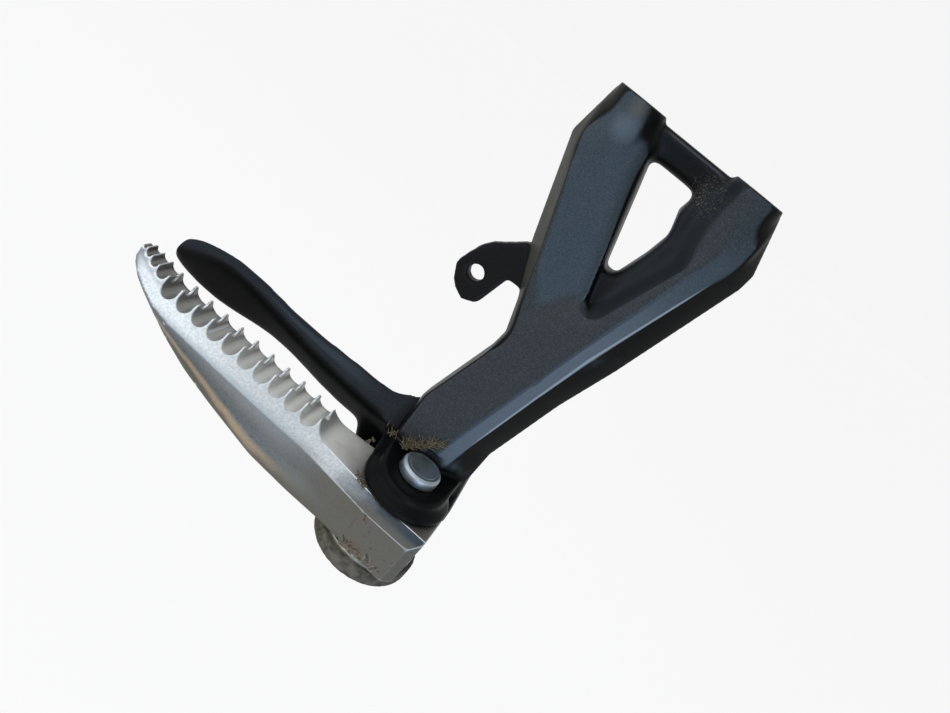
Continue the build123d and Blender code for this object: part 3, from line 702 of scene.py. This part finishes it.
class FOOTREST_OT_hanger_casting(bpy.types.Operator):
    """Rounded skin and satin black enamel on the hanger casting"""
    bl_idname = "footrest.hanger_casting"
    bl_label = "Hanger casting"

    def execute(self, context):
        settings = context.scene.footrest_casting
        skin = cast_skin("hanger", settings.voxel, settings.passes)
        for hollow in (self.in_pocket, self.on_left_boss, self.on_right_boss, self.at_fork, self.on_guard):
            ease(skin, hollow, settings.hollows)
        self.round_tab(skin, settings.hollows)
        keep_bore(skin, PIN_X, PIN_Y, BORE_RADIUS, HANGER_LOW.z - 1 * MM)
        piece = new_piece(
            "hanger_casting", skin, painted_casting_material(settings), "root")
        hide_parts("hanger")
        return {"FINISHED"}

    def in_pocket(self, co, inset):
        """Whether a point lies between the left arm's inner edge and the right arm's ridge."""
        left = -13.0 * MM + (-8.5 * MM - co.z) * 0.42 + inset
        right = 20.5 * MM + (co.z + 16 * MM) * 0.26 - inset
        return co.y < 6 * MM - inset and -59 * MM + inset < co.z < -3 * MM - inset and left < co.x < right

    def on_left_boss(self, co, inset):
        """Whether a point lies on the front of the left boss, where it runs into the arm."""
        return self.on_boss(co, -20 * MM, inset)

    def on_right_boss(self, co, inset):
        """Whether a point lies on the front of the right boss, where it runs into the arm."""
        return self.on_boss(co, 20 * MM, inset)

    def on_boss(self, co, bolt_x, inset):
        """Whether a point lies on the front of the casting within 10 mm of a bolt's line."""
        across = abs(co.x - bolt_x) < 10 * MM - inset
        return across and co.y < -1 * MM - inset and -26 * MM + inset < co.z < -1.5 * MM - inset

    def at_fork(self, co, inset):
        """Whether a point lies on the front where the left arm's leaning face runs into the fork."""
        across = -14 * MM + inset < co.x < 9 * MM - inset
        return across and co.y < -3 * MM - inset and -82 * MM + inset < co.z < -50 * MM - inset

    def on_guard(self, co, inset):
        """Whether a point lies on the guard beside the footrest."""
        return co.x < -22 * MM - inset and co.z < -116 * MM

    def round_tab(self, skin, passes):
        """Rounds the four corners of the tab's nose and leaves its faces flat."""
        for corner_x, corner_z in ((-26.8, -80), (-36.4, -71), (-35, -64.5), (-26.5, -53.6)):
            chosen = list(skin.verts)
            for radius in (5.0, 4.0, 3.0):
                chosen = [
                    vert for vert in chosen
                    if math.hypot(vert.co.x / MM - corner_x, vert.co.z / MM - corner_z) < radius
                ]
                for _ in range(passes * 3):
                    bmesh.ops.smooth_vert(
                        skin, verts=chosen, factor=0.5, use_axis_x=True, use_axis_y=False, use_axis_z=True)


class FOOTREST_OT_footrest_casting(bpy.types.Operator):
    """Rounded skin, gouges, nicks and bare aluminium on the footrest casting"""
    bl_idname = "footrest.footrest_casting"
    bl_label = "Footrest casting"

    def execute(self, context):
        settings = context.scene.footrest_bare
        skin = cast_skin("footrest", settings.voxel, settings.passes)
        ease(skin, self.on_flank, settings.flank)
        dent(skin, self.marks())
        keep_bore(skin, PIN_X, PIN_Y, BORE_RADIUS, FOOT_LOW.z - 1 * MM)
        piece = new_piece(
            "footrest_casting", skin, bare_casting_material(settings), "footrest")
        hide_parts("footrest")
        return {"FINISHED"}

    def on_flank(self, co, inset):
        """Whether a point lies on the outer flank, between the strip and the footrest's foot."""
        return co.x < -9 * MM - inset and co.y < -22 * MM and co.z < DECK_Z - 4.5 * MM - inset

    def marks(self):
        """Gouges where the block hit the road, nicks along its edges and pits of the casting."""
        draw = random.Random(11)
        face = FOOT_LOW.y
        marks = []
        # Rough gouge low on the block's front, and slanted cuts beside it
        for _ in range(46):
            place = Vector((-1.0 * MM + draw.gauss(0, 2.1) * MM, face, -153.0 * MM + draw.gauss(0, 1.0) * MM))
            marks.append((place, draw.uniform(0.6, 1.3), draw.uniform(0.12, 0.4)))
        for start, end in (((-4.9, -139.5), (-3.2, -142.0)), ((8.6, -151.5), (6.9, -154.2)),
                           ((-15.2, -145.6), (-13.6, -147.3)), ((-7.5, -149.5), (-4.6, -152.4)),
                           ((-12.0, -148.0), (-6.5, -154.0)), ((-9.0, -144.5), (-8.2, -146.5)),
                           ((3.4, -150.4), (5.2, -152.8))):
            for step in range(9):
                share = step / 8
                place = Vector((
                    (start[0] + (end[0] - start[0]) * share) * MM, face,
                    (start[1] + (end[1] - start[1]) * share) * MM))
                marks.append((place, 0.6, 0.22))
        # Pits of the casting on the block's front
        for _ in range(46):
            place = Vector((draw.uniform(-24, 13) * MM, face, draw.uniform(-154, -138) * MM))
            marks.append((place, draw.uniform(0.45, 0.75), draw.uniform(0.1, 0.3)))
        # Shallow nicks along the top edge of the strip
        for _ in range(36):
            reach = draw.uniform(0.05, 0.95)
            x = FOOT_HIGH.x + (FOOT_LOW.x - FOOT_HIGH.x) * reach
            place = Vector((x, draw.uniform(-33, -25) * MM, DECK_Z - draw.uniform(0.4, 4.0) * MM))
            marks.append((place, draw.uniform(0.5, 0.8), draw.uniform(0.02, 0.06)))
        return marks


class FOOTREST_OT_hinge_pin(bpy.types.Operator):
    """Clevis pin turned from bar: domed head with a ring, shank, clip groove and chamfered end"""
    bl_idname = "footrest.hinge_pin"
    bl_label = "Hinge pin"

    def execute(self, context):
        top = PIN_HIGH.z
        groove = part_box("pin_clip")
        profile = (
            (0.0, top),
            (0.70 * HEAD_RADIUS, top),
            (0.74 * HEAD_RADIUS, top - 0.12 * MM),
            (0.78 * HEAD_RADIUS, top - 0.02 * MM),
            (HEAD_RADIUS - 0.9 * MM, top - 0.05 * MM),
            (HEAD_RADIUS - 0.25 * MM, top - 0.45 * MM),
            (HEAD_RADIUS, top - 1.0 * MM),
            (HEAD_RADIUS, PAD_Z + 0.4 * MM),
            (HEAD_RADIUS - 0.4 * MM, PAD_Z),
            (SHANK_RADIUS, PAD_Z),
            (SHANK_RADIUS, groove[1].z),
            (SHANK_RADIUS - 0.8 * MM, groove[1].z),
            (SHANK_RADIUS - 0.8 * MM, groove[0].z),
            (SHANK_RADIUS, groove[0].z),
            (SHANK_RADIUS, PIN_LOW.z + 0.5 * MM),
            (SHANK_RADIUS - 0.5 * MM, PIN_LOW.z),
            (0.0, PIN_LOW.z),
        )
        mesh = bmesh.new()
        verts = [mesh.verts.new((PIN_X + radius, PIN_Y, z)) for radius, z in profile]
        edges = [mesh.edges.new(pair) for pair in zip(verts, verts[1:])]
        bmesh.ops.spin(
            mesh, geom=verts + edges, cent=(PIN_X, PIN_Y, 0), axis=(0, 0, 1), angle=math.tau, steps=96,
            use_merge=True)
        bmesh.ops.remove_doubles(mesh, verts=mesh.verts, dist=0.001 * MM)
        rims = [edge for edge in mesh.edges if edge.is_manifold and edge.calc_face_angle() > math.radians(20)]
        bmesh.ops.bevel(
            mesh, geom=rims, offset=0.09 * MM, affect="EDGES", segments=2, profile=0.5, material=-1)
        bmesh.ops.recalc_face_normals(mesh, faces=mesh.faces)
        material = steel_material("turned_steel", context.scene.footrest_steel.steel, 0.36, 0.35)
        piece = new_piece("hinge_pin_turned", mesh, material, "root")
        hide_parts("hinge_pin")
        return {"FINISHED"}


class FOOTREST_OT_steel_fittings(bpy.types.Operator):
    """Plated and oiled steel on the pin's washer and clip, and on the detent"""
    bl_idname = "footrest.steel_fittings"
    bl_label = "Steel fittings"

    def execute(self, context):
        settings = context.scene.footrest_steel
        ball = steel_material("polished_steel", settings.steel, 0.2, 0.25)
        zinc = steel_material("zinc_plated_steel", settings.zinc, 0.34, 0.4)
        oiled = steel_material("oiled_spring_steel", settings.oiled, 0.3, 0.3)
        finishes = {
            "pin_washer": zinc, "pin_clip": oiled, "detent_plate": zinc, "detent_ball": ball,
            "detent_spring": oiled}
        for name, material in finishes.items():
            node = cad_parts[name]
            node.data.materials.clear()
            node.data.materials.append(material)
        return {"FINISHED"}


class FOOTREST_OT_dirt(bpy.types.Operator):
    """Dried grass behind the pin's head and crumbs of mud on the clevis and the footrest"""
    bl_idname = "footrest.dirt"
    bl_label = "Dried grass and mud"

    def execute(self, context):
        settings = context.scene.footrest_dirt
        draw = random.Random(5)
        straw = dry_material("dried_grass", settings.straw, 0.8)
        mud = dry_material("dried_mud", settings.mud, 0.5)
        straight = self.straight_blade()
        mesh = bmesh.new()
        for _ in range(settings.blades):
            self.add_blade(mesh, straight, draw, self.along(TUFT, draw.random()), 1.0)
        for _ in range(16):
            self.add_blade(mesh, straight, draw, Vector(SMALL_TUFT) + self.scatter(draw, 0.7), 0.6)
        new_piece("grass_tuft", mesh, straw, "root")
        mesh = bmesh.new()
        for _ in range(settings.crumbs):
            self.add_crumb(mesh, draw, self.along(TUFT, draw.random()) + self.scatter(draw, 0.5), 0.16)
        new_piece("mud_on_clevis", mesh, mud, "root")
        mesh = bmesh.new()
        for spot in CRUMB_SPOTS:
            for _ in range(9):
                place = Vector((*spot, DECK_Z / MM + 0.1)) + self.scatter(draw, 0.55)
                place.z = DECK_Z / MM + 0.1
                self.add_crumb(mesh, draw, place, 0.2)
        new_piece("mud_on_footrest", mesh, mud, "footrest")
        return {"FINISHED"}

    def along(self, path, share):
        """Point a share of the way along a list of points."""
        step = share * (len(path) - 1)
        first = min(int(step), len(path) - 2)
        return Vector(path[first]).lerp(Vector(path[first + 1]), step - first)

    def scatter(self, draw, spread):
        """Small random step in millimetres."""
        return Vector((draw.gauss(0, spread), draw.gauss(0, spread), draw.gauss(0, spread / 2)))

    def straight_blade(self):
        """Mesh of an upright blade of unit height with four sides and rings to bend at."""
        blade = bmesh.new()
        bmesh.ops.create_cone(blade, cap_ends=True, segments=4, radius1=0.5, radius2=0.5, depth=1.0)
        bmesh.ops.translate(blade, verts=blade.verts, vec=(0, 0, 0.5))
        uprights = [edge for edge in blade.edges if abs(edge.verts[0].co.z - edge.verts[1].co.z) > 0.5]
        bmesh.ops.subdivide_edges(blade, edges=uprights, cuts=3)
        data = bpy.data.meshes.new("straight_blade")
        blade.to_mesh(data)
        blade.free()
        return data

    def add_blade(self, mesh, straight, draw, place, size):
        """Tapered, bent bit of straw that starts at a place and leans up and outward."""
        before = len(mesh.verts)
        mesh.from_mesh(straight)
        mesh.verts.ensure_lookup_table()
        length = size * draw.uniform(1.6, 4.4)
        bend = draw.uniform(-0.5, 0.5)
        width = draw.uniform(0.2, 0.38)
        turn = Matrix.Rotation(draw.uniform(0, math.tau), 4, "Z") @ Matrix.Rotation(
            math.radians(draw.uniform(15, 80)), 4, "X")
        start = place + self.scatter(draw, 0.45)
        for vert in mesh.verts[before:]:
            height = vert.co.z
            taper = 1 - 0.7 * height
            local = Vector((
                vert.co.x * width * taper + bend * length * height * height, vert.co.y * width * taper,
                height * length))
            vert.co = (start + turn @ local) * MM

    def add_crumb(self, mesh, draw, place, size):
        """Rough lump of dried mud."""
        grown = size * draw.uniform(0.6, 2.0)
        made = bmesh.ops.create_icosphere(mesh, subdivisions=2, radius=grown)
        seed = Vector((draw.uniform(0, 50), draw.uniform(0, 50), draw.uniform(0, 50)))
        for vert in made["verts"]:
            lump = 1 + 0.9 * noise.noise(vert.co / grown * 1.2 + seed)
            vert.co = (place + vert.co * lump) * MM


class FOOTREST_OT_stage(bpy.types.Operator):
    """Pale floor, soft sky lamp, window lamp, warm lamp, room light and the camera"""
    bl_idname = "footrest.stage"
    bl_label = "Stage"

    def execute(self, context):
        settings = context.scene.footrest_stage
        scene = context.scene
        scene.view_settings.view_transform = "Standard"
        self.make_floor(settings)
        self.make_lights(scene, settings)
        self.make_camera(scene)
        return {"FINISHED"}

    def make_floor(self, settings):
        """Large pale floor below the part, near white where it is seen but for the part's soft shadow."""
        mesh = bmesh.new()
        bmesh.ops.create_grid(mesh, x_segments=1, y_segments=1, size=6.0)
        bmesh.ops.translate(mesh, verts=mesh.verts, vec=(0, 0, CAD_BOX[0].z - settings.drop))
        data = bpy.data.meshes.new("floor")
        mesh.to_mesh(data)
        mesh.free()
        material, tree, shader = new_material("pale_matte_floor")
        seen = self.seen_rays(tree)
        tone = add_node(
            tree, *COLOUR_MIX, {0: seen.outputs[0], COLOUR_A: settings.shade, COLOUR_B: settings.floor})
        tree.links.new(tone.outputs[COLOUR_OUT], shader.inputs["Base Color"])
        shader.inputs["Roughness"].default_value = 0.9
        glow = add_node(tree, "ShaderNodeEmission", inputs={"Color": (1.0, 1.0, 1.0, 1.0), "Strength": 1.0})
        share = add_node(tree, *MULTIPLY, {0: seen.outputs[0], 1: FLOOR_GLOW})
        mixed = add_node(
            tree, "ShaderNodeMixShader",
            inputs={0: share.outputs[0], 1: shader.outputs[0], 2: glow.outputs[0]})
        tree.links.new(mixed.outputs[0], tree.nodes["Material Output"].inputs["Surface"])
        data.materials.append(material)
        floor = bpy.data.objects.new("floor", data)
        bpy.context.scene.collection.objects.link(floor)

    def seen_rays(self, tree):
        """One for rays that show the background: camera, mirror and glass rays."""
        path = add_node(tree, "ShaderNodeLightPath")
        shown = add_node(tree, *LARGER, {0: path.outputs["Is Camera Ray"], 1: path.outputs["Is Glossy Ray"]})
        return add_node(tree, *LARGER, {0: shown.outputs[0], 1: path.outputs["Is Transmission Ray"]})

    def make_lights(self, scene, settings):
        """A big soft lamp from the sky's side, a bluish window, a warm lamp below and an even room light."""
        world = bpy.data.worlds.new("room")
        scene.world = world
        world.use_nodes = True
        tree = world.node_tree
        back = tree.nodes["Background"]
        back.inputs["Color"].default_value = linear("#fdfdfd")
        seen = self.seen_rays(tree)
        strength = add_node(
            tree, "ShaderNodeMix", {"data_type": "FLOAT"},
            {0: seen.outputs[0], 2: settings.world, 3: ROOM_SEEN})
        tree.links.new(strength.outputs[0], back.inputs["Strength"])
        centre = (CAD_BOX[0] + CAD_BOX[1]) / 2
        self.add_lamp("sky_lamp", centre, (-0.42, -0.68, 0.60), 0.9, 1.9, settings.key, "#f1f4f9")
        arms = Vector((5, -7, -60)) * MM
        self.add_lamp("window_lamp", arms, (0.52, -0.77, -0.35), 0.36, 0.2, settings.window, "#b9d2ee")
        flank = Vector((-60, -30, -145)) * MM
        self.add_lamp("warm_lamp", flank, (-0.07, -0.62, -0.78), 0.2, 0.12, settings.warm, "#ffce93")

    def add_lamp(self, name, centre, direction, distance, size, power, code):
        """Square soft lamp at a distance in a direction, turned to the part."""
        light = bpy.data.lights.new(name, "AREA")
        light.size = size
        light.energy = power
        light.color = linear(code)[:3]
        lamp = bpy.data.objects.new(name, light)
        toward = Vector(direction).normalized()
        lamp.location = centre + toward * distance
        lamp.rotation_mode = "QUATERNION"
        lamp.rotation_quaternion = toward.to_track_quat("Z", "Y")
        lamp.visible_camera = False
        bpy.context.scene.collection.objects.link(lamp)

    def make_camera(self, scene):
        """Camera where the photograph was taken from, level with the bosses and rolled."""
        right = Vector(CAMERA_RIGHT)
        up = Vector(CAMERA_UP)
        data = bpy.data.cameras.new("camera")
        data.sensor_width = SENSOR_WIDTH
        data.lens = FOCAL_PIXELS / IMAGE_WIDTH * SENSOR_WIDTH
        data.clip_start = 0.01
        camera = bpy.data.objects.new("camera", data)
        turn = Matrix((right, up, right.cross(up))).transposed().to_4x4()
        camera.matrix_world = Matrix.Translation(Vector(CAMERA_PLACE) * MM) @ turn
        scene.collection.objects.link(camera)
        scene.camera = camera


class FOOTREST_PT_sidebar(bpy.types.Panel):
    """Lists the steps that finish the footrest hanger"""
    bl_label = "Footrest hanger"
    bl_idname = "FOOTREST_PT_sidebar"
    bl_space_type = "VIEW_3D"
    bl_region_type = "UI"
    bl_category = "Footrest"

    def draw(self, context):
        for operator in OPERATORS:
            self.layout.operator(operator.bl_idname)
        for name in SETTINGS:
            box = self.layout.box()
            settings = getattr(context.scene, name)
            for prop in type(settings).__annotations__:
                box.prop(settings, prop)


SETTINGS = {
    "footrest_casting": CastingSettings,
    "footrest_bare": FootrestSettings,
    "footrest_steel": SteelSettings,
    "footrest_dirt": DirtSettings,
    "footrest_stage": StageSettings,
}
OPERATORS = (
    FOOTREST_OT_hanger_casting,
    FOOTREST_OT_footrest_casting,
    FOOTREST_OT_hinge_pin,
    FOOTREST_OT_steel_fittings,
    FOOTREST_OT_dirt,
    FOOTREST_OT_stage,
)


def register():
    for kind in (*SETTINGS.values(), *OPERATORS, FOOTREST_PT_sidebar):
        bpy.utils.register_class(kind)
    for name, kind in SETTINGS.items():
        setattr(bpy.types.Scene, name, PointerProperty(type=kind))


def unregister():
    for name in SETTINGS:
        delattr(bpy.types.Scene, name)
    for kind in reversed((*SETTINGS.values(), *OPERATORS, FOOTREST_PT_sidebar)):
        bpy.utils.unregister_class(kind)


def main():
    """Registers the add-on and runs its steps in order."""
    register()
    bpy.ops.footrest.hanger_casting()
    bpy.ops.footrest.footrest_casting()
    bpy.ops.footrest.hinge_pin()
    bpy.ops.footrest.steel_fittings()
    bpy.ops.footrest.dirt()
    bpy.ops.footrest.stage()


if __name__ == "__main__":
    main()
